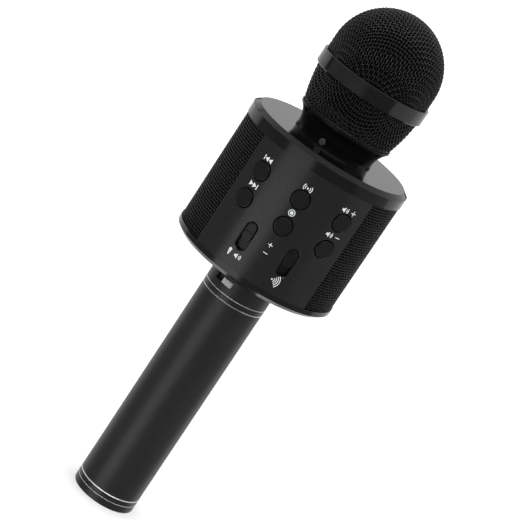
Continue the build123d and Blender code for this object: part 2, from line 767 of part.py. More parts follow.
def grille_basket():
    low, middle, high = basket_arc(0)
    low_in, middle_in, high_in = basket_arc(MESH_THICKNESS)
    outline = ThreePointArc(low, middle, high) + Line(high, high_in)
    outline += ThreePointArc(high_in, middle_in, low_in) + Line(low_in, low)
    return revolve(Plane.XZ * make_face(outline), Axis.Z)


def grille_band():
    outer = HEAD_RADIUS + BAND_PROUD
    band = tube(outer, outer - BAND_WALL, band_base, band_top)
    return chamfer(circles_of(band, outer), BAND_CHAMFER)


def domed_shell(outer, thickness, base, centre):
    """Short straight wall with half a ball on top of it."""
    solid = rod(outer, base, centre) + Pos(0, 0, centre) * Sphere(outer)
    hollow = rod(outer - thickness, base, centre) + Pos(0, 0, centre) * Sphere(outer - thickness)
    shell = solid - hollow
    return shell - rod(2 * outer, base - 3 * outer, base)


def grille_dome():
    return domed_shell(HEAD_RADIUS, MESH_THICKNESS, band_top, dome_centre)


def grille_thread_ring():
    inner = THREAD_RADIUS + RUNNING_GAP
    return tube(inner + THREAD_RING_WALL, inner, head_base, head_base + THREAD_RING_HEIGHT)


def grille_washer():
    inner = THREAD_RADIUS + 2 * RUNNING_GAP
    return tube(NECK_RIM_RADIUS - 2 * BASKET_BASE_INSET, inner, neck_top, head_base)


def windscreen_foam():
    """Foam lining that follows the inside of the basket, the band and the dome."""
    inset = MESH_THICKNESS + FOAM_GAP
    foam_base = head_base + THREAD_RING_HEIGHT
    outer_low, outer_middle, outer_high = basket_arc(inset)
    inner_low, inner_middle, inner_high = basket_arc(inset + FOAM_THICKNESS)
    outline = ThreePointArc(outer_low, outer_middle, outer_high) + Line(outer_high, inner_high)
    outline += ThreePointArc(inner_high, inner_middle, inner_low) + Line(inner_low, outer_low)
    lower = revolve(Plane.XZ * make_face(outline), Axis.Z) - rod(2 * HEAD_RADIUS, neck_top, foam_base)
    upper = domed_shell(HEAD_RADIUS - inset - BASKET_TOP_INSET, FOAM_THICKNESS, band_base, dome_centre)
    return lower + upper


def capsule_cushion():
    """Rubber cup that stands on the neck and holds the capsule."""
    base = neck_top + THREAD_LENGTH
    cup = tube(CAPSULE_RADIUS + CUP_WALL, LEAD_HOLE_RADIUS, base, base + CUP_HEIGHT)
    return cup - rod(CAPSULE_RADIUS, base + CUP_FLOOR, base + CUP_HEIGHT)


def mic_capsule():
    base = neck_top + THREAD_LENGTH + CUP_FLOOR
    capsule = rod(CAPSULE_RADIUS, base, base + CAPSULE_LENGTH)
    return fillet(capsule.edges().group_by(Axis.Z)[-1], CAPSULE_FILLET)


# ---------------------------------------------------------------- leads


def capsule_lead():
    """Screened lead from the capsule, down through the neck and back to the main board."""
    start = neck_top + THREAD_LENGTH + CUP_FLOOR
    board_height = frame_top - LEAD_BOARD_MARGIN
    points = ((0, 0, start), (0, 0, board_height + LEAD_BEND_RUN), (0, MAIN_BOARD_Y / 2, board_height),
              (0, MAIN_BOARD_Y, board_height))
    return bent_lead(CAPSULE_LEAD_RADIUS, points, LEAD_BEND_RADIUS)


def battery_leads():
    """Two leads from the cell's upper contact through the collar to the main board."""
    board_height = frame_base + LEAD_BOARD_MARGIN
    leads = []
    for side in (-1, 1):
        x = side * BATTERY_LEAD_SPACING
        points = ((x, 0, contact_base + CONTACT_THICKNESS), (x, 0, board_height - LEAD_BEND_RUN),
                  (x, MAIN_BOARD_Y / 2, board_height), (x, MAIN_BOARD_Y, board_height))
        leads.append(bent_lead(BATTERY_LEAD_RADIUS, points, LEAD_BEND_RADIUS))
    return Compound(children=leads)


def speaker_leads():
    """A short lead from the back of each magnet out to the main board."""
    start = speaker_back - SPEAKER_SHEET - MAGNET_HEIGHT
    leads = []
    for side in (-1, 1):
        x = side * start / 2
        low = speaker_height - MAGNET_RADIUS / 2
        points = ((side * start, 0, low), (x, 0, low), (x, MAIN_BOARD_Y, low))
        leads.append(bent_lead(SPEAKER_LEAD_RADIUS, points, start / 3))
    return Compound(children=leads)


# ---------------------------------------------------------------- assembly

nodes = {
    "end_cap": end_cap(),
    "end_cap_seal": end_cap_seal(),
    "cap_contact": cap_contact(),
    "tail_trim_ring": trim_ring(END_CAP_HEIGHT, cap_spigot_radius + RUNNING_GAP),
    "handle_tube": handle_tube(),
    "upper_trim_ring": trim_ring(tube_top, collar_spigot_outer),
    "handle_collar": handle_collar(),
    "power_switch_knob": power_switch_knob(),
    "power_switch_body": power_switch_body(),
    "battery_sleeve": battery_sleeve(),
    "battery_cell": battery_cell(),
    "battery_contact": battery_contact(),
    "battery_spring": battery_spring(),
    "bottom_cover": bottom_cover(),
    "top_cover": top_cover(),
    "front_panel": front_panel(),
    "rear_panel": rear_panel(),
    "side_grille_left": side_grille(-90),
    "side_grille_right": side_grille(90),
    "chassis": chassis(),
    "cover_screws": cover_screws(),
    "mic_volume_slider": fader_knob(FADER_ANGLES[0]),
    "echo_slider": fader_knob(FADER_ANGLES[1]),
    "button_board": button_board(),
    "tact_switches": tact_switches(),
    "slider_housings": fader_housings(),
    "main_board": main_board(),
    "card_socket": socket_block(card_height, CARD_SIZE, CARD_MOUTH),
    "usb_socket": socket_block(usb_height, USB_SIZE, USB_MOUTH, USB_TONGUE),
    "charge_socket": socket_block(charge_height, CHARGE_SIZE, CHARGE_MOUTH, CHARGE_TONGUE),
    "aux_jack_socket": aux_jack_socket(),
    "neck_housing": neck_housing(),
    "neck_lock_nut": neck_lock_nut(),
    "status_led_lens": status_led_lens(),
    "grille_washer": grille_washer(),
    "grille_thread_ring": grille_thread_ring(),
    "grille_basket": grille_basket(),
    "grille_band": grille_band(),
    "grille_dome": grille_dome(),
    "windscreen_foam": windscreen_foam(),
    "capsule_cushion": capsule_cushion(),
    "mic_capsule": mic_capsule(),
    "capsule_lead": capsule_lead(),
    "battery_leads": battery_leads(),
    "speaker_leads": speaker_leads(),
}

for side, word in ((-1, "left"), (1, "right")):
    nodes[f"speaker_frame_{word}"] = speaker_frame(side)
    nodes[f"speaker_cone_{word}"] = speaker_cone(side)
    nodes[f"speaker_magnet_{word}"] = speaker_magnet(side)
    nodes[f"speaker_gasket_{word}"] = speaker_gasket(side)

button_names = (("previous", "scan", "volume_up"), ("next", "record", "volume_down"))
for height, row in zip(button_rows, button_names):
    for angle, word in zip(BUTTON_ANGLES, row):
        nodes[f"{word}_button"] = push_button(angle, height)

os.makedirs("parts", exist_ok=True)
for name, solid in nodes.items():
    export_step(solid, f"parts/{name}.step")
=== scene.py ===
import json
from math import cos, pi, radians, sin, sqrt

import bmesh
import bpy
import numpy as np
from mathutils import Matrix, Vector, noise


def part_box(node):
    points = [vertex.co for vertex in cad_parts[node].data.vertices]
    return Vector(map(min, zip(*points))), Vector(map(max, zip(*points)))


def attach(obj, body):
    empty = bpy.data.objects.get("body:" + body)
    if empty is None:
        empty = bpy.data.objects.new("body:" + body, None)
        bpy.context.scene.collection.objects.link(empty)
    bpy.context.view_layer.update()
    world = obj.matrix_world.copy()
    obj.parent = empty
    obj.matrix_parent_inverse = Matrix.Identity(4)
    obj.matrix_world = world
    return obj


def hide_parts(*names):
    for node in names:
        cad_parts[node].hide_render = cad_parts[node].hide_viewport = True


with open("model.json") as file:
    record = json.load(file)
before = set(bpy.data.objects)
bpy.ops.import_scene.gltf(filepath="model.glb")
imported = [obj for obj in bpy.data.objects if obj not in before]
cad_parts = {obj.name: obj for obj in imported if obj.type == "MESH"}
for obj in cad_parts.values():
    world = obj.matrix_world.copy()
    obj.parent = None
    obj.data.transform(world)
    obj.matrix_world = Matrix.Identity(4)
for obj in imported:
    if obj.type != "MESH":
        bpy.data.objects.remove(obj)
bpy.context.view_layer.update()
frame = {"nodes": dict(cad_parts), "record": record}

# Karaoke microphone: the woven head, the mesh grilles and their cloth, which is also painted shade for
# the inside of the body, the foam, the printed signs, the finishes and the studio. Metres, +Z up, the
# controls face -Y. Angles are degrees round the body from -Y towards +X.

MM = 0.001

# ---------------------------------------------------------------- sizes

# Camera
CAMERA_AZIMUTH = -1.7
CAMERA_DISTANCE = 852 * MM
CAMERA_HEIGHT = 347 * MM
CAMERA_SIDESTEP = 0.94 * MM
CAMERA_PITCH = 14.3
CAMERA_ROLL = 33.5
CAMERA_LENS = 140.7
CAMERA_SENSOR = 36.0

# Woven wire of the head
HEAD_PITCH = 1.5 * MM
HEAD_WIRE_WIDTH = 0.54 * MM
HEAD_WIRE_HEIGHT = 0.48 * MM
HEAD_WIRE_SIDES = 6
BASKET_FOOT_INSET = 0.3 * MM
BASKET_BELLY = 0.45 * MM
BASKET_FOOT_SPREAD = 1.05
BASKET_ROWS = 200
HEM_WIDTH = 0.9 * MM
HEM_SIDES = 10
HEM_AROUND = 160
BAND_BURY = 0.2 * MM

# Woven wire of the side grilles
GRILLE_PITCH = 1.25 * MM
GRILLE_RING_WIRE = 0.46 * MM
GRILLE_UPRIGHT_WIRE = 0.32 * MM
GRILLE_WIRE_SIDES = 5
GRILLE_HALF_ANGLE = 46.1
GRILLE_EDGE = 0.15 * MM

STEPS_PER_PITCH = 4
SMALLEST = 1e-9

# Cloth behind the side grilles, also painted shade for the inside of the body
CLOTH_INSET = 0.9 * MM
CLOTH_THICKNESS = 0.15 * MM
CLOTH_STEPS = 96

# Foam lining
FOAM_THICKNESS = 4.0 * MM
FOAM_INSET = 1.15 * MM
FOAM_PIT = 0.14 * MM
FOAM_CELL = 0.9 * MM
FOAM_AROUND = 320
FOAM_ROWS = 60
FOAM_DOME_ROWS = 80
FOAM_POLE = 0.01 * MM

# Printed signs; outlines, strokes and steps are in millimetres
PRINT_THICKNESS = 0.03 * MM
PRINT_STEP = 0.35
PRINT_STROKE = 0.28
SIGN_SCALE = 1.2
ARC_POINTS = 12
DISC_POINTS = 24
SKIP_HALF = 0.95
RELIEF_REACH = 1.3
RELIEF_THICKNESS = 0.07 * MM

# Controls, as they stand on the panel
BUTTON_ANGLE = 30.6
FADER_ANGLE = 15.5
TOP_SIGN_HEIGHT = 176.0 * MM
SECOND_SIGN_HEIGHT = 163.7 * MM
FADER_SIGN_HEIGHT = 135.4 * MM
PLUS_HEIGHT = 147.4 * MM
MINUS_HEIGHT = 143.4 * MM

# Studio
FLOOR_SIZE = 30.0
PLAIN_LIGHT = 1.5

# ---------------------------------------------------------------- sizes read from the frame

dome_low, dome_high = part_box("grille_dome")
basket_low, basket_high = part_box("grille_basket")
foam_low, foam_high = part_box("windscreen_foam")
grille_low, grille_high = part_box("side_grille_right")
body_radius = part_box("top_cover")[1].x
neck_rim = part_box("neck_housing")[1].x

head_radius = dome_high.x - HEAD_WIRE_HEIGHT
dome_centre = dome_high.z - dome_high.x
dome_base = dome_low.z - BAND_BURY
basket_foot_radius = neck_rim - BASKET_FOOT_INSET - HEAD_WIRE_HEIGHT
basket_top_radius = basket_high.x - HEAD_WIRE_HEIGHT
grille_radius = grille_high.x - GRILLE_RING_WIRE

# ---------------------------------------------------------------- meshes


def add_object(name, mesh, smooth=True):
    mesh.polygons.foreach_set("use_smooth", [smooth] * len(mesh.polygons))
    piece = bpy.data.objects.new(name, mesh)
    bpy.context.scene.collection.objects.link(piece)
    return piece


def wire_rings(centres, normals, half_width, half_height, sides):
    """Corners of an oval section set square to the wire at each of its points."""
    along = np.gradient(centres, axis=0)
    across = np.cross(along, normals)
    across /= np.linalg.norm(across, axis=1, keepdims=True)
    up = np.cross(across, along)
    up /= np.linalg.norm(up, axis=1, keepdims=True)
    turn = np.linspace(0, 2 * pi, sides, endpoint=False)
    wide = across[:, None, :] * (half_width * np.cos(turn))[None, :, None]
    high = up[:, None, :] * (half_height * np.sin(turn))[None, :, None]
    return centres[:, None, :] + wide + high


def wires(name, stretches, half_width, half_height, sides):
    """One mesh of separate closed wires; a stretch is a wire's points and the surface's normals there."""
    points, faces, first = [], [], 0
    for centres, normals in stretches:
        rings = wire_rings(centres, normals, half_width, half_height, sides)
        here = first + np.arange(len(centres) * sides).reshape(-1, sides)
        beside = np.roll(here, -1, axis=1)
        quads = np.stack([here[:-1], here[1:], beside[1:], beside[:-1]], axis=-1)
        faces += quads.reshape(-1, 4).tolist()
        faces += [here[0].tolist(), here[-1, ::-1].tolist()]
        points.append(rings.reshape(-1, 3))
        first += rings.shape[0] * sides
    mesh = bpy.data.meshes.new(name)
    mesh.from_pydata(np.concatenate(points).tolist(), [], faces)
    return add_object(name, mesh)


def lathe(name, outline, around, dent=None):
    """Closed ring turned from a closed outline of (radius, height) points, dented inwards by dent(point)."""
    turn = np.linspace(0, 2 * pi, around, endpoint=False)
    radii, heights = np.array(outline).T
    grid = np.stack(
        [
            radii[None, :] * np.cos(turn)[:, None],
            radii[None, :] * np.sin(turn)[:, None],
            np.broadcast_to(heights, (around, len(heights))),
        ],
        axis=-1,
    )
    here = np.arange(around * len(outline)).reshape(around, -1)
    beside, above = np.roll(here, -1, axis=0), np.roll(here, -1, axis=1)
    corner = np.roll(beside, -1, axis=1)
    faces = np.stack([here, beside, corner, above], axis=-1).reshape(-1, 4)
    mesh = bpy.data.meshes.new(name)
    mesh.from_pydata(grid.reshape(-1, 3).tolist(), [], faces.tolist())
    if dent:
        normals = np.empty(grid.size)
        mesh.vertex_normals.foreach_get("vector", normals)
        depths = np.array([dent(Vector(point)) for point in grid.reshape(-1, 3)])
        dented = grid.reshape(-1, 3) - normals.reshape(-1, 3) * depths[:, None]
        mesh.vertices.foreach_set("co", dented.ravel())
        mesh.update()
    return add_object(name, mesh)


# ---------------------------------------------------------------- weaving


def wire_lines(pitch, reach, stretches_at):
    """(index, offset, start, end) of each wire of one family, from how far it runs at its offset."""
    count = int(reach / pitch)
    lines = []
    for index in range(-count, count + 1):
        for start, end in stretches_at(index * pitch):
            if end - start > pitch:
                lines.append((index, index * pitch, start, end))
    return lines


def ring_stretches(rim, hole):
    """Chords of a flat ring: one stretch, or two where the hole is in the way."""

    def stretches_at(offset):
        far = sqrt(max(rim**2 - offset**2, 0.0))
        if abs(offset) >= hole:
            return [(-far, far)]
        near = sqrt(hole**2 - offset**2)
        return [(-far, -near), (near, far)]

    return stretches_at


def weave(name, pitch, lines, surface, crossways, half_width, half_height, sides):
    """One family of a plain weave, over and under the wires of the other by turns."""
    step = pitch / STEPS_PER_PITCH
    stretches = []
    for index, offset, start, end in lines:
        inner = step * np.arange(np.floor(start / step) + 1, np.ceil(end / step))
        along = np.concatenate([[start], inner, [end]])
        fixed = np.full_like(along, offset)
        x, y = (along, fixed) if crossways else (fixed, along)
        points, normals = surface(x, y)
        side = -1 if crossways else 1
        lift = side * half_height * np.cos(pi * along / pitch + pi * index)
        stretches.append((points + normals * lift[:, None], normals))
    return wires(name, stretches, half_width, half_height, sides)


def on_dome(x, y):
    """Where a point of the flat wire cloth goes when it is pressed over the ball, its area kept."""
    flat = np.maximum(np.hypot(x, y), SMALLEST)
    turn = 2 * np.arcsin(np.minimum(flat / (2 * head_radius), sqrt(0.5)))
    drop = np.maximum(flat**2 - 2 * head_radius**2, 0) / (2 * head_radius)
    out = np.sin(turn) / flat
    normals = np.stack([x * out, y * out, np.cos(turn)], axis=1)
    points = normals * head_radius
    points[:, 2] += dome_centre - drop
    return points, normals


basket_heights = np.linspace(basket_low.z, basket_high.z + BAND_BURY, BASKET_ROWS)
basket_share = (basket_heights - basket_low.z) / (basket_high.z - basket_low.z)
basket_radii = basket_foot_radius + (basket_top_radius - basket_foot_radius) * basket_share
basket_radii += 4 * BASKET_BELLY * basket_share * (1 - basket_share)
basket_slopes = np.gradient(basket_radii, basket_heights)
basket_slants = np.sqrt(1 + basket_slopes**2) * np.gradient(basket_heights)
basket_hole = basket_foot_radius * BASKET_FOOT_SPREAD
basket_flat = np.sqrt(basket_hole**2 + 2 * np.cumsum(basket_radii * basket_slants))


def on_basket(x, y):
    """The same for the basket below the band, which is pressed the other way up."""
    flat = np.hypot(x, y)
    radius = np.interp(flat, basket_flat, basket_radii)
    slope = np.interp(flat, basket_flat, basket_slopes)
    height = np.interp(flat, basket_flat, basket_heights)
    points = np.stack([x / flat * radius, y / flat * radius, height], axis=1)
    normals = np.stack([x / flat, y / flat, -slope], axis=1)
    return points, normals / np.linalg.norm(normals, axis=1, keepdims=True)


def on_grille(side):
    """A flat sheet bent round the body, to its left (-1) or right (1)."""

    def surface(x, y):
        turn = x / grille_radius
        normals = np.stack([side * np.cos(turn), np.sin(turn), np.zeros_like(turn)], axis=1)
        points = normals * grille_radius
        points[:, 2] = y + (grille_low.z + grille_high.z) / 2
        return points, normals

    return surface


def head_mesh():
    """The dome and the basket, each a pair of wire families."""
    dome_rim = sqrt(2 * head_radius**2 + 2 * head_radius * (dome_centre - dome_base))
    shapes = (
        ("dome", "grille_dome", on_dome, dome_rim, 0.0),
        ("basket", "grille_basket", on_basket, basket_flat[-1], basket_flat[0]),
    )
    pieces = []
    for word, node, surface, rim, hole in shapes:
        lines = wire_lines(HEAD_PITCH, rim, ring_stretches(rim, hole))
        for crossways, family in ((False, "warp"), (True, "weft")):
            section = (HEAD_WIRE_WIDTH / 2, HEAD_WIRE_HEIGHT / 2, HEAD_WIRE_SIDES)
            piece = weave(f"{word}_{family}", HEAD_PITCH, lines, surface, crossways, *section)
            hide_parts(node)
            pieces.append(piece)
    return pieces


def basket_hem():
    """Rolled edge that holds the cut ends of the basket's wires."""
    half = HEM_WIDTH / 2
    outline = [
        (basket_foot_radius + half * cos(turn), basket_low.z + half + half * sin(turn))
        for turn in np.linspace(0, 2 * pi, HEM_SIDES, endpoint=False)
    ]
    return lathe("basket_hem", outline, HEM_AROUND)


def side_grilles():
    reach_up = (grille_high.z - grille_low.z) / 2 - GRILLE_EDGE
    reach_round = radians(GRILLE_HALF_ANGLE) * grille_radius - GRILLE_EDGE
    upright = wire_lines(GRILLE_PITCH, reach_round, lambda offset: [(-reach_up, reach_up)])
    level = wire_lines(GRILLE_PITCH, reach_up, lambda offset: [(-reach_round, reach_round)])
    families = (
        (False, upright, "warp", GRILLE_UPRIGHT_WIRE / 2),
        (True, level, "weft", GRILLE_RING_WIRE / 2),
    )
    pieces = []
    for side, word in ((-1, "left"), (1, "right")):
        for crossways, lines, family, half in families:
            name = f"side_mesh_{word}_{family}"
            section = (half, half, GRILLE_WIRE_SIDES)
            piece = weave(name, GRILLE_PITCH, lines, on_grille(side), crossways, *section)
            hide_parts(f"side_grille_{word}")
            pieces.append(piece)
    return pieces


def grille_shade_cloth(side):
    """Mesh of the thin black cloth just inside a side grille, which is also painted shade: a dark sheet that
    hides the inside of the body.
    """
    turns = np.radians(np.linspace(-GRILLE_HALF_ANGLE, GRILLE_HALF_ANGLE, CLOTH_STEPS))
    outside = grille_high.x - CLOTH_INSET
    rows = []
    for radius in (outside, outside - CLOTH_THICKNESS):
        for height in (grille_low.z + GRILLE_EDGE, grille_high.z - GRILLE_EDGE):
            rows.append([(side * radius * cos(turn), radius * sin(turn), height) for turn in turns])
    corners = np.arange(CLOTH_STEPS * len(rows)).reshape(len(rows), CLOTH_STEPS).tolist()
    outer_low, outer_high, inner_low, inner_high = corners
    faces = [(outer_low[0], outer_high[0], inner_high[0], inner_low[0])]
    faces += [(outer_low[-1], inner_low[-1], inner_high[-1], outer_high[-1])]
    edges = (outer_low, outer_high, inner_high, inner_low)
    for first, second in zip(edges, edges[1:] + edges[:1]):
        faces += zip(first[1:], second[1:], second[:-1], first[:-1])
    mesh = bpy.data.meshes.new("grille_shade_cloth")
    mesh.from_pydata([point for row in rows for point in row], [], faces)
    work = bmesh.new()
    work.from_mesh(mesh)
    bmesh.ops.recalc_face_normals(work, faces=work.faces[:])
    work.to_mesh(mesh)
    work.free()
    return mesh


# ---------------------------------------------------------------- foam


def foam_radius(height):
    """Outside of the foam below the ball's centre."""
    beside_basket = np.interp(height, basket_heights, basket_radii) + HEAD_WIRE_HEIGHT - FOAM_INSET
    return min(beside_basket, foam_high.z - dome_centre)


def foam_lining():
    """Open-cell foam inside the head, with its surface pitted by the cells."""
    ball = foam_high.z - dome_centre
    heights = np.linspace(foam_low.z, dome_centre, FOAM_ROWS)
    turns = np.linspace(0, pi / 2, FOAM_DOME_ROWS)[1:]

    def quarter(radius, turns):
        return [(max(radius * cos(turn), FOAM_POLE), dome_centre + radius * sin(turn)) for turn in turns]

    outer = [(foam_radius(height), height) for height in heights] + quarter(ball, turns)
    # The inside isn't seen, so it has fewer rows
    inner = quarter(ball - FOAM_THICKNESS, turns[::-4])
    inner += [(foam_radius(height) - FOAM_THICKNESS, height) for height in heights[::-6]]

    def dent(point):
        return FOAM_PIT * max(noise.noise(point / FOAM_CELL), 0.0)

    piece = lathe("foam_lining", outer + inner, FOAM_AROUND, dent)
    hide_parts("windscreen_foam")
    return piece


# ---------------------------------------------------------------- printed signs, in millimetres


def arc(centre, radius, start, end, count=ARC_POINTS):
    turns = np.radians(np.linspace(start, end, count))
    return [(centre[0] + radius * cos(turn), centre[1] + radius * sin(turn)) for turn in turns]


def disc(centre, radius):
    return arc(centre, radius, 0, 360, DISC_POINTS + 1)[:-1]


def bar(low, high):
    return [low, (high[0], low[1]), high, (low[0], high[1])]


def plus(centre, reach):
    x, y = centre
    half = PRINT_STROKE / 2
    arm = [(half, half), (half, reach), (-half, reach)]
    corners = []
    for quarter in range(4):
        c, s = round(cos(quarter * pi / 2)), round(sin(quarter * pi / 2))
        corners += [(x + c * a - s * b, y + s * a + c * b) for a, b in arm]
    return corners


def minus(centre, reach):
    x, y = centre
    half = PRINT_STROKE / 2
    return bar((x - reach, y - half), (x + reach, y + half))


def bow(centre, radius, start, end):
    """Arc with the width of a stroke, as a closed outline."""
    half = PRINT_STROKE / 2
    outside = arc(centre, radius + half, start, end)
    return outside + arc(centre, radius - half, start, end)[::-1]


def arrow(tip, base):
    return [(tip, 0.0), (base, -SKIP_HALF), (base, SKIP_HALF)]


def skip_sign(side):
    """Two arrowheads that point at a bar, to the left (-1) or the right (1)."""
    stop = bar((side * 1.75, -SKIP_HALF), (side * 2.1, SKIP_HALF))
    return [stop, arrow(side * 1.6, side * 0.1), arrow(0.0, side * -1.5)]


def speaker_sign(x):
    """Loudspeaker with two sound waves, its magnet at x."""
    horn = [(x, -0.4), (x + 0.5, -0.4), (x + 1.2, -1.0), (x + 1.2, 1.0), (x + 0.5, 0.4), (x, 0.4)]
    middle = (x + 1.2, 0.0)
    return [horn, bow(middle, 0.75, -42, 42), bow(middle, 1.3, -42, 42)]


def microphone_sign(x):
    grip = [(x - 0.2, -1.3), (x + 0.2, -1.3), (x + 0.42, 0.2), (x - 0.42, 0.2)]
    return [disc((x, 0.75), 0.6), grip, bar((x - 0.55, -0.05), (x + 0.55, 0.12))]


SIGNS = {
    "previous_sign": skip_sign(-1),
    "next_sign": skip_sign(1),
    "scan_sign": [disc((0, 0), 0.34)]
    + [bow((0, 0), radius, side - 42, side + 42) for radius in (0.95, 1.6) for side in (0, 180)],
    "record_sign": [disc((0, 0), 0.62), bow((0, 0), 1.15, 0, 359.5)],
    "volume_up_sign": speaker_sign(-2.9) + [plus((2.0, 0), 0.95)],
    "volume_down_sign": speaker_sign(-2.9) + [minus((2.0, 0), 0.95)],
    "mic_volume_sign": microphone_sign(-2.2) + speaker_sign(0.0),
    "echo_sign": [disc((-1.8, 0), 0.3)]
    + [bow((-1.8, 0), radius, -48, 48) for radius in (0.9, 1.6, 2.3, 3.0)],
    "plus_sign": [plus((0, 0), 0.85)],
    "minus_sign": [minus((0, 0), 0.85)],
}
SIGN_PLACES = {
    "previous_sign": (-BUTTON_ANGLE, TOP_SIGN_HEIGHT),
    "scan_sign": (0, TOP_SIGN_HEIGHT),
    "volume_up_sign": (BUTTON_ANGLE, TOP_SIGN_HEIGHT),
    "next_sign": (-BUTTON_ANGLE, SECOND_SIGN_HEIGHT),
    "record_sign": (0, SECOND_SIGN_HEIGHT),
    "volume_down_sign": (BUTTON_ANGLE, SECOND_SIGN_HEIGHT),
    "mic_volume_sign": (-FADER_ANGLE, FADER_SIGN_HEIGHT),
    "echo_sign": (FADER_ANGLE, FADER_SIGN_HEIGHT),
    "plus_sign": (0, PLUS_HEIGHT),
    "minus_sign": (0, MINUS_HEIGHT),
}


def flat_patches(outlines, thickness):
    """Thin plates in the xy plane, in metres, cut into narrow strips across x."""
    work = bmesh.new()
    scale = SIGN_SCALE * MM
    for outline in outlines:
        work.faces.new([work.verts.new((x * scale, y * scale, 0)) for x, y in outline])
    work.normal_update()
    bmesh.ops.triangulate(work, faces=work.faces[:])
    across = [x * SIGN_SCALE for outline in outlines for x, y in outline]
    for cut in np.arange(min(across) + PRINT_STEP, max(across), PRINT_STEP):
        everything = work.verts[:] + work.edges[:] + work.faces[:]
        bmesh.ops.bisect_plane(work, geom=everything, plane_co=(cut * MM, 0, 0), plane_no=(1, 0, 0))
    raised = bmesh.ops.extrude_face_region(work, geom=work.faces[:], use_keep_orig=True)
    lifted = [item for item in raised["geom"] if isinstance(item, bmesh.types.BMVert)]
    bmesh.ops.translate(work, verts=lifted, vec=(0, 0, thickness))
    bmesh.ops.recalc_face_normals(work, faces=work.faces[:])
    return work


def printed(name, outlines, angle, height, radius, thickness):
    """Print that lies on the round panel, centred on an angle and a height."""
    work = flat_patches(outlines, thickness)
    for vertex in work.verts:
        turn = radians(angle) + vertex.co.x / radius
        out = radius + vertex.co.z
        vertex.co = (out * sin(turn), -out * cos(turn), height + vertex.co.y)
    mesh = bpy.data.meshes.new(name)
    work.to_mesh(mesh)
    work.free()
    return add_object(name, mesh, smooth=False)


def button_relief(button, outlines, angle):
    """Low raised mark on a flat button cap."""
    low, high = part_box(f"{button}_button")
    work = flat_patches(outlines, RELIEF_THICKNESS)
    turn = radians(angle)
    outward = Vector((sin(turn), -cos(turn), 0))
    tangent = Vector((cos(turn), sin(turn), 0))
    corners = [vertex.co for vertex in frame["nodes"][f"{button}_button"].data.vertices]
    face = max(corner.dot(outward) for corner in corners)
    middle = outward * face + Vector((0, 0, (low.z + high.z) / 2))
    for vertex in work.verts:
        vertex.co = middle + tangent * vertex.co.x + Vector((0, 0, vertex.co.y)) + outward * vertex.co.z
    mesh = bpy.data.meshes.new(f"{button}_relief")
    work.to_mesh(mesh)
    work.free()
    piece = add_object(f"{button}_relief", mesh, smooth=False)
    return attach(piece, f"{button}_button")


# ---------------------------------------------------------------- finishes

WAVE_PERIOD = 0.314  # between the bands of a wave texture at a scale of 1

SOCKETS = {
    "colour": "Base Color",
    "metallic": "Metallic",
    "roughness": "Roughness",
    "specular": "Specular IOR Level",
    "coat": "Coat Weight",
}


def plug(socket, value):
    """Links a socket to another node's output, or gives it a plain value."""
    if isinstance(value, bpy.types.NodeSocket):
        socket.id_data.links.new(value, socket)
    else:
        socket.default_value = value


class Finish:
    """A material in the making: a Principled shader and the patterns that feed it."""

    def __init__(self, name, colour, roughness, **sockets):
        self.material = bpy.data.materials.new(name)
        self.material.use_nodes = True
        self.tree = self.material.node_tree
        self.shader = self.tree.nodes["Principled BSDF"]
        self.coordinates = self.tree.nodes.new("ShaderNodeTexCoord")
        self.colour, self.roughness = colour, roughness
        self.bumps = None
        self.feed("colour", (*colour, 1))
        self.feed("roughness", roughness)
        for socket, value in sockets.items():
            self.feed(socket, value)

    def feed(self, socket, value):
        plug(self.shader.inputs[SOCKETS[socket]], value)

    def node(self, kind, **inputs):
        made = self.tree.nodes.new(kind)
        for name, value in inputs.items():
            plug(made.inputs[name.replace("_", " ")], value)
        return made

    def place(self, stretch=(1, 1, 1)):
        """Object coordinates, drawn out along an axis where stretch is over 1."""
        shrink = tuple(1 / share for share in stretch)
        made = self.node("ShaderNodeMapping", Vector=self.coordinates.outputs["Object"], Scale=shrink)
        return made.outputs[0]

    def noise(self, size, stretch=(1, 1, 1), detail=3.0):
        """Cloudy pattern with features of a size in metres, from 0 to 1."""
        made = self.node("ShaderNodeTexNoise", Vector=self.place(stretch), Scale=1 / size, Detail=detail)
        return made.outputs[0]

    def cells(self, size):
        """Rounded cells of a size in metres, 0 at their middles."""
        made = self.node("ShaderNodeTexVoronoi", Vector=self.place(), Scale=1 / size)
        return made.outputs["Distance"]

    def waves(self, size, direction="Z", distortion=0.0):
        """Bands a size in metres apart."""
        scale = WAVE_PERIOD / size
        made = self.node("ShaderNodeTexWave", Vector=self.place(), Scale=scale, Distortion=distortion)
        made.bands_direction = direction
        return made.outputs["Fac"]

    def scaled(self, value, low, high, start=0.3, end=0.7):
        made = self.node(
            "ShaderNodeMapRange", Value=value, From_Min=start, From_Max=end, To_Min=low, To_Max=high
        )
        return made.outputs[0]

    def mixed(self, share, first, second):
        made = self.tree.nodes.new("ShaderNodeMix")
        made.data_type = "RGBA"
        plug(made.inputs[0], share)
        for socket, value in ((6, first), (7, second)):
            plug(made.inputs[socket], (*value, 1) if isinstance(value, tuple) else value)
        return made.outputs[2]

    def mottle(self, pattern, spread, tint=(1, 1, 1)):
        """Colour that varies by a share of itself, towards a tint where the pattern is high."""
        dark = tuple(channel * (1 - spread) for channel in self.colour)
        light = tuple(channel * (1 + spread) * hue for channel, hue in zip(self.colour, tint))
        output = self.mixed(self.scaled(pattern, 0, 1), dark, light)
        self.feed("colour", output)
        return output

    def vary_roughness(self, pattern, spread):
        low, high = self.roughness - spread, self.roughness + spread
        self.feed("roughness", self.scaled(pattern, low, high))

    def bump(self, pattern, depth):
        """Relief of a depth in metres, on top of any relief already there."""
        made = self.node("ShaderNodeBump", Height=pattern, Strength=1.0, Distance=depth)
        if self.bumps:
            plug(made.inputs["Normal"], self.bumps)
        self.bumps = made.outputs[0]
        plug(self.shader.inputs["Normal"], self.bumps)


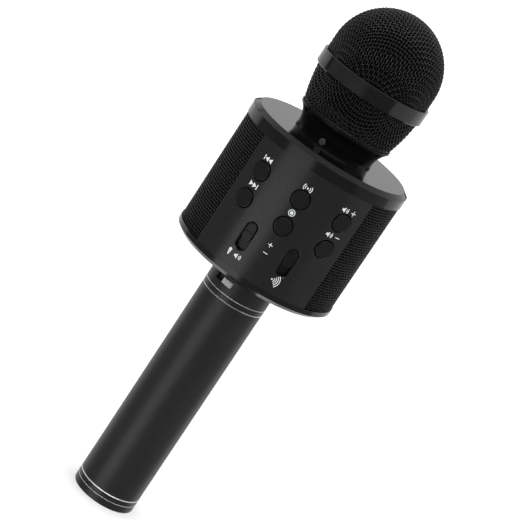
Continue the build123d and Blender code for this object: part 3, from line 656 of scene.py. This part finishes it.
def anodised(name, roughness):
    """Dark anodised tube whose turned chamfers are bare bright metal."""
    made = Finish(name, (0.0095, 0.0095, 0.010), roughness, specular=0.34)
    slant = made.node("ShaderNodeSeparateXYZ", Vector=made.coordinates.outputs["Normal"]).outputs["Z"]
    steep = made.node("ShaderNodeMath", Value=slant)
    steep.operation = "ABSOLUTE"
    cut = made.scaled(steep.outputs[0], 0, 1, 0.35, 0.5)
    streaks = made.noise(0.10 * MM, (14, 14, 1))
    bare = made.mixed(made.scaled(streaks, 0, 1), (0.80, 0.80, 0.81), (0.95, 0.95, 0.96))
    dark = made.mottle(made.noise(6 * MM, (1, 1, 4)), 0.10)
    made.feed("colour", made.mixed(cut, dark, bare))
    made.feed("metallic", cut)
    made.vary_roughness(made.noise(0.5 * MM, (1, 1, 6)), 0.05)
    made.bump(made.noise(0.16 * MM, detail=2.0), 0.004 * MM)
    made.bump(streaks, 0.002 * MM)
    return made.material


def piano_black(name, specular):
    made = Finish(name, (0.0024, 0.0024, 0.0026), 0.11, specular=specular)
    made.mottle(made.noise(9 * MM), 0.12)
    made.vary_roughness(made.noise(2.5 * MM, detail=5.0), 0.03)
    made.bump(made.noise(3.0 * MM), 0.006 * MM)
    made.bump(made.noise(0.25 * MM, detail=5.0), 0.0006 * MM)
    return made.material


def satin_panel():
    made = Finish("satin_panel", (0.0070, 0.0070, 0.0075), 0.24, specular=0.36)
    made.mottle(made.noise(7 * MM, (1, 1, 3)), 0.10)
    made.vary_roughness(made.noise(1.2 * MM, detail=4.0), 0.04)
    made.bump(made.noise(0.14 * MM, detail=2.0), 0.0022 * MM)
    return made.material


def painted_wire(name, colour, roughness, specular):
    """Black paint on wire: a little thicker, duller and dustier here and there."""
    made = Finish(name, colour, roughness, specular=specular)
    made.mottle(made.noise(2.2 * MM), 0.30, (1.0, 0.99, 0.97))
    made.vary_roughness(made.noise(0.6 * MM), 0.08)
    made.bump(made.noise(0.12 * MM, detail=4.0), 0.006 * MM)
    return made.material


def polished_band():
    made = Finish("polished_band", (0.0035, 0.0035, 0.0038), 0.10, specular=0.5)
    made.mottle(made.noise(3 * MM, (4, 4, 1)), 0.15)
    made.vary_roughness(made.noise(0.2 * MM, (20, 20, 1)), 0.035)
    made.bump(made.noise(0.09 * MM, (24, 24, 1)), 0.0012 * MM)
    return made.material


def button_plastic():
    made = Finish("button_plastic", (0.0042, 0.0042, 0.0045), 0.30, specular=0.22)
    made.mottle(made.noise(2.5 * MM), 0.12)
    made.vary_roughness(made.noise(0.8 * MM, detail=4.0), 0.06)
    made.bump(made.noise(0.11 * MM, detail=2.0), 0.003 * MM)
    return made.material


def switch_plastic():
    made = Finish("switch_plastic", (0.30, 0.30, 0.31), 0.45, specular=0.4)
    made.mottle(made.noise(0.8 * MM), 0.08)
    made.vary_roughness(made.noise(0.3 * MM), 0.07)
    made.bump(made.noise(0.12 * MM), 0.004 * MM)
    return made.material


def print_ink():
    made = Finish("print_ink", (0.56, 0.57, 0.58), 0.55, specular=0.3)
    made.mottle(made.noise(0.35 * MM), 0.14)
    made.vary_roughness(made.noise(0.2 * MM), 0.08)
    made.bump(made.noise(0.08 * MM), 0.003 * MM)
    return made.material


def open_cell_foam():
    made = Finish("open_cell_foam", (0.0022, 0.0022, 0.0022), 0.95, specular=0.05)
    cells = made.cells(0.55 * MM)
    # The cells' sunken middles are coloured darker: painted shade in the pits
    made.mottle(cells, 0.6)
    made.bump(cells, 0.20 * MM)
    made.bump(made.noise(0.2 * MM), 0.05 * MM)
    return made.material


def cloth_with_painted_shade():
    made = Finish("cloth_with_painted_shade", (0.0016, 0.0016, 0.0017), 0.9, specular=0.05)
    threads_and_painted_shade = made.cells(0.35 * MM)
    # The threads' sunken middles are coloured darker: painted shade between the threads
    made.mottle(threads_and_painted_shade, 0.5)
    made.vary_roughness(made.noise(0.6 * MM), 0.05)
    made.bump(threads_and_painted_shade, 0.05 * MM)
    return made.material


def soft_rubber():
    made = Finish("soft_rubber", (0.012, 0.012, 0.012), 0.70, specular=0.3)
    made.mottle(made.noise(1.5 * MM), 0.20)
    made.vary_roughness(made.noise(0.5 * MM), 0.08)
    made.bump(made.noise(0.18 * MM), 0.010 * MM)
    return made.material


def moulded_plastic():
    made = Finish("moulded_plastic", (0.014, 0.014, 0.015), 0.50, specular=0.35)
    made.mottle(made.noise(3 * MM), 0.12)
    made.vary_roughness(made.noise(0.7 * MM), 0.07)
    made.bump(made.cells(0.22 * MM), 0.010 * MM)
    return made.material


def plated_steel():
    made = Finish("plated_steel", (0.52, 0.52, 0.54), 0.30, metallic=1.0)
    made.mottle(made.noise(1.5 * MM, (1, 1, 5)), 0.12, (1.0, 0.99, 0.96))
    made.vary_roughness(made.noise(0.15 * MM, (1, 1, 12)), 0.08)
    made.bump(made.noise(0.12 * MM, (1, 1, 14)), 0.002 * MM)
    return made.material


def shrink_sleeve():
    made = Finish("shrink_sleeve", (0.05, 0.11, 0.21), 0.32, specular=0.5)
    made.mottle(made.noise(5 * MM), 0.10)
    made.vary_roughness(made.noise(1.5 * MM), 0.06)
    made.bump(made.noise(1.8 * MM, (1, 1, 5)), 0.03 * MM)
    return made.material


def amber_film():
    """Polyimide film with copper tracks that show through."""
    made = Finish("amber_film", (0.26, 0.12, 0.025), 0.35, specular=0.5)
    tracks = made.waves(1.1 * MM, distortion=1.5)
    made.feed("colour", made.mixed(made.scaled(tracks, 0, 1, 0.72, 0.80), made.colour, (0.45, 0.20, 0.06)))
    made.vary_roughness(made.noise(0.8 * MM), 0.06)
    made.bump(tracks, 0.02 * MM)
    return made.material


def solder_mask():
    """Green board with tracks in two directions and tinned pads."""
    made = Finish("solder_mask", (0.012, 0.085, 0.035), 0.35, specular=0.5)
    up, over = made.waves(1.6 * MM, "Z", 2.0), made.waves(2.1 * MM, "X", 2.0)
    lit = made.mixed(made.scaled(up, 0, 1, 0.70, 0.78), made.colour, (0.02, 0.15, 0.06))
    lit = made.mixed(made.scaled(over, 0, 1, 0.74, 0.82), lit, (0.02, 0.15, 0.06))
    made.feed("colour", lit)
    made.vary_roughness(made.noise(0.8 * MM), 0.06)
    made.bump(up, 0.02 * MM)
    return made.material


def pressed_paper():
    made = Finish("pressed_paper", (0.014, 0.014, 0.014), 0.85, specular=0.2)
    made.mottle(made.noise(0.5 * MM, (3, 1, 1), detail=6.0), 0.35)
    made.vary_roughness(made.noise(0.4 * MM), 0.08)
    made.bump(made.noise(0.25 * MM, (4, 1, 1), detail=6.0), 0.03 * MM)
    return made.material


def blackened_steel():
    made = Finish("blackened_steel", (0.018, 0.018, 0.019), 0.40, metallic=0.6)
    made.mottle(made.noise(2.0 * MM), 0.2)
    made.vary_roughness(made.noise(0.4 * MM), 0.08)
    made.bump(made.noise(0.2 * MM), 0.006 * MM)
    return made.material


def sintered_ferrite():
    made = Finish("sintered_ferrite", (0.030, 0.030, 0.033), 0.60, specular=0.4)
    made.mottle(made.cells(0.4 * MM), 0.25)
    made.vary_roughness(made.noise(0.6 * MM), 0.1)
    made.bump(made.cells(0.3 * MM), 0.015 * MM)
    return made.material


def lens_with_painted_highlight():
    # Grey indicator lens; its light grey also stands in for the highlight spot on the neck, a painted
    # highlight
    made = Finish("lens_with_painted_highlight", (0.035, 0.036, 0.038), 0.22, specular=0.5, coat=0.5)
    made.mottle(made.noise(0.5 * MM), 0.15)
    made.vary_roughness(made.noise(0.3 * MM), 0.05)
    made.bump(made.noise(0.4 * MM), 0.004 * MM)
    return made.material


def lead_sheath():
    made = Finish("lead_sheath", (0.02, 0.02, 0.02), 0.5, specular=0.4)
    made.mottle(made.noise(0.8 * MM), 0.15)
    made.vary_roughness(made.noise(0.4 * MM), 0.08)
    made.bump(made.noise(0.2 * MM, (1, 1, 6)), 0.006 * MM)
    return made.material


finishes = {
    "handle": anodised("anodised_handle", 0.36),
    "trim": anodised("cut_trim", 0.30),
    "gloss_black": piano_black("piano_black", 0.36),
    "panel": satin_panel(),
    "grille_mesh": painted_wire("grille_wire", (0.0025, 0.0025, 0.0027), 0.24, 0.48),
    "head_mesh": painted_wire("head_wire", (0.0011, 0.0011, 0.0012), 0.20, 0.42),
    "band": polished_band(),
    "button": button_plastic(),
    "switch_knob": switch_plastic(),
    "foam": open_cell_foam(),
    "rubber": soft_rubber(),
    "inner_plastic": moulded_plastic(),
    "steel": plated_steel(),
    "cell_wrap": shrink_sleeve(),
    "flex_board": amber_film(),
    "circuit_board": solder_mask(),
    "paper": pressed_paper(),
    "ferrite": sintered_ferrite(),
    "lens": lens_with_painted_highlight(),
    "lead_sheath": lead_sheath(),
}
neck_black = piano_black("neck_black", 0.10)
black_steel = blackened_steel()
black_shade_cloth = cloth_with_painted_shade()
ink = print_ink()


def paint(piece, material):
    piece.data.materials.clear()
    piece.data.materials.append(material)


for part in frame["record"]["subparts"]:
    paint(frame["nodes"][part["node"]], finishes[part["material_slot"]])
for node in ("neck_housing", "neck_lock_nut"):
    paint(frame["nodes"][node], neck_black)
for node in ("grille_thread_ring", "speaker_frame_left", "speaker_frame_right"):
    paint(frame["nodes"][node], black_steel)

# ---------------------------------------------------------------- pieces

for piece in (*head_mesh(), basket_hem()):
    paint(piece, finishes["head_mesh"])
    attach(piece, "grille_head")

for piece in side_grilles():
    paint(piece, finishes["grille_mesh"])
    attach(piece, "housing")

# A thin black cloth inside each grille, which is also painted shade for the inside of the body
for side, word in ((-1, "left"), (1, "right")):
    cloth = add_object(f"grille_shade_cloth_{word}", grille_shade_cloth(side), smooth=False)
    paint(cloth, black_shade_cloth)
    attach(cloth, "housing")

foam = foam_lining()
paint(foam, finishes["foam"])
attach(foam, "grille_head")

for name, (angle, height) in SIGN_PLACES.items():
    sign = printed(name, SIGNS[name], angle, height, body_radius, PRINT_THICKNESS)
    paint(sign, ink)
    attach(sign, "housing")

reliefs = (
    ("volume_up", [plus((0, 0), RELIEF_REACH)]),
    ("volume_down", [minus((0, 0), RELIEF_REACH)]),
)
for button, outlines in reliefs:
    relief = button_relief(button, outlines, BUTTON_ANGLE)
    paint(relief, finishes["button"])

# ---------------------------------------------------------------- studio


def pale_floor():
    mesh = bpy.data.meshes.new("floor")
    half = FLOOR_SIZE / 2
    corners = [(-half, -half, 0), (half, -half, 0), (half, half, 0), (-half, half, 0)]
    mesh.from_pydata(corners, [], [(0, 1, 2, 3)])
    floor = add_object("floor", mesh, smooth=False)
    made = Finish("floor_paint", (0.93, 0.93, 0.93), 0.9, specular=0.1)
    made.mottle(made.noise(0.4), 0.01)
    paint(floor, made.material)
    floor.visible_glossy = False


class Sky:
    """Studio light by direction: each zone blends its strength over the ones before it."""

    def __init__(self, strength):
        self.world = bpy.data.worlds.new("studio")
        bpy.context.scene.world = self.world
        self.world.use_nodes = True
        self.tree = self.world.node_tree
        direction = self.tree.nodes.new("ShaderNodeTexCoord").outputs["Generated"]
        axes = self.node("ShaderNodeSeparateXYZ", direction).outputs
        behind = self.node("ShaderNodeMath", -1.0, axes["Y"], operation="MULTIPLY").outputs[0]
        turn = self.node("ShaderNodeMath", axes["X"], behind, operation="ARCTAN2").outputs[0]
        rise = self.node("ShaderNodeMath", axes["Z"], operation="ARCSINE").outputs[0]
        self.azimuth = self.node("ShaderNodeMath", turn, 180 / pi, operation="MULTIPLY").outputs[0]
        self.elevation = self.node("ShaderNodeMath", rise, 180 / pi, operation="MULTIPLY").outputs[0]
        self.strength = strength

    def node(self, kind, *values, operation=None):
        made = self.tree.nodes.new(kind)
        if operation:
            made.operation = operation
        for socket, value in zip(made.inputs, values):
            plug(socket, value)
        return made

    def blend(self, share, first, second):
        made = self.tree.nodes.new("ShaderNodeMix")
        for socket, value in ((0, share), (2, first), (3, second)):
            plug(made.inputs[socket], value)
        return made.outputs[0]

    def edge(self, angle, start, soft):
        made = self.node("ShaderNodeMapRange", angle, start - soft, start + soft, 0.0, 1.0)
        made.interpolation_type = "SMOOTHSTEP"
        return made.outputs[0]

    def inside(self, angle, low, high, soft):
        """1 between two angles, 0 outside them."""
        rising, falling = self.edge(angle, low, soft), self.edge(angle, high, soft)
        return self.node("ShaderNodeMath", rising, falling, operation="SUBTRACT").outputs[0]

    def zone(self, strength, azimuth, elevation, soft=4.0):
        """Sets a strength in a window of directions, in degrees."""
        share = self.node(
            "ShaderNodeMath",
            self.inside(self.azimuth, *azimuth, soft),
            self.inside(self.elevation, *elevation, soft / 2),
            operation="MULTIPLY",
        ).outputs[0]
        self.strength = self.blend(share, self.strength, strength)

    def light(self, plain):
        """Even light of a plain strength, the zones seen only as reflections."""
        mirrored = self.tree.nodes.new("ShaderNodeLightPath").outputs["Is Glossy Ray"]
        background = self.tree.nodes["Background"]
        plug(background.inputs["Strength"], self.blend(mirrored, plain, self.strength))
        plug(background.inputs["Color"], (1, 1, 1, 1))


def studio():
    sky = Sky(0.10)
    all_round, near_level, below = (-200, 200), (-11, 11), (-50, -11)
    # Overhead, and a bright ring below it that is dimmer at both sides
    sky.zone(0.65, all_round, (66, 100))
    sky.zone(3.0, all_round, (38, 64))
    for beside in ((-150, -58), (62, 150)):
        sky.zone(0.7, beside, (26, 66))
    # Behind, for the top cover and for surfaces seen edge on
    for behind in ((-200, -110), (110, 200)):
        sky.zone(0.74, behind, (4, 26))
        sky.zone(0.90, behind, (-50, -4))
    # In front, darkest in the middle, for the band
    sky.zone(0.16, (-46, 54), near_level)
    sky.zone(0.32, (-98, -46), near_level)
    sky.zone(0.80, (54, 110), near_level)
    # In front and low, for the panel and the handle, with the panel's soft highlight
    sky.zone(0.34, (-110, 110), below)
    sky.zone(2.1, (-48, -9), below, soft=6.0)
    # Underneath, for the edges that face down
    sky.zone(1.3, all_round, (-100, -50))
    sky.light(PLAIN_LIGHT)


def camera():
    outward = Vector((sin(radians(CAMERA_AZIMUTH)), -cos(radians(CAMERA_AZIMUTH)), 0))
    right = Vector((-outward.y, outward.x, 0))
    up = Vector((0, 0, 1))
    pitch = radians(CAMERA_PITCH)
    back = outward * cos(pitch) + up * sin(pitch)
    above = up * cos(pitch) - outward * sin(pitch)
    place = outward * CAMERA_DISTANCE + up * CAMERA_HEIGHT + right * CAMERA_SIDESTEP
    turn = Matrix((right, above, back)).transposed().to_4x4()
    data = bpy.data.cameras.new("camera")
    data.lens = CAMERA_LENS
    data.sensor_width = CAMERA_SENSOR
    made = bpy.data.objects.new("camera", data)
    made.matrix_world = Matrix.Translation(place) @ turn @ Matrix.Rotation(radians(CAMERA_ROLL), 4, "Z")
    bpy.context.scene.collection.objects.link(made)
    bpy.context.scene.camera = made


pale_floor()
studio()
camera()
bpy.context.scene.view_settings.view_transform = "Standard"
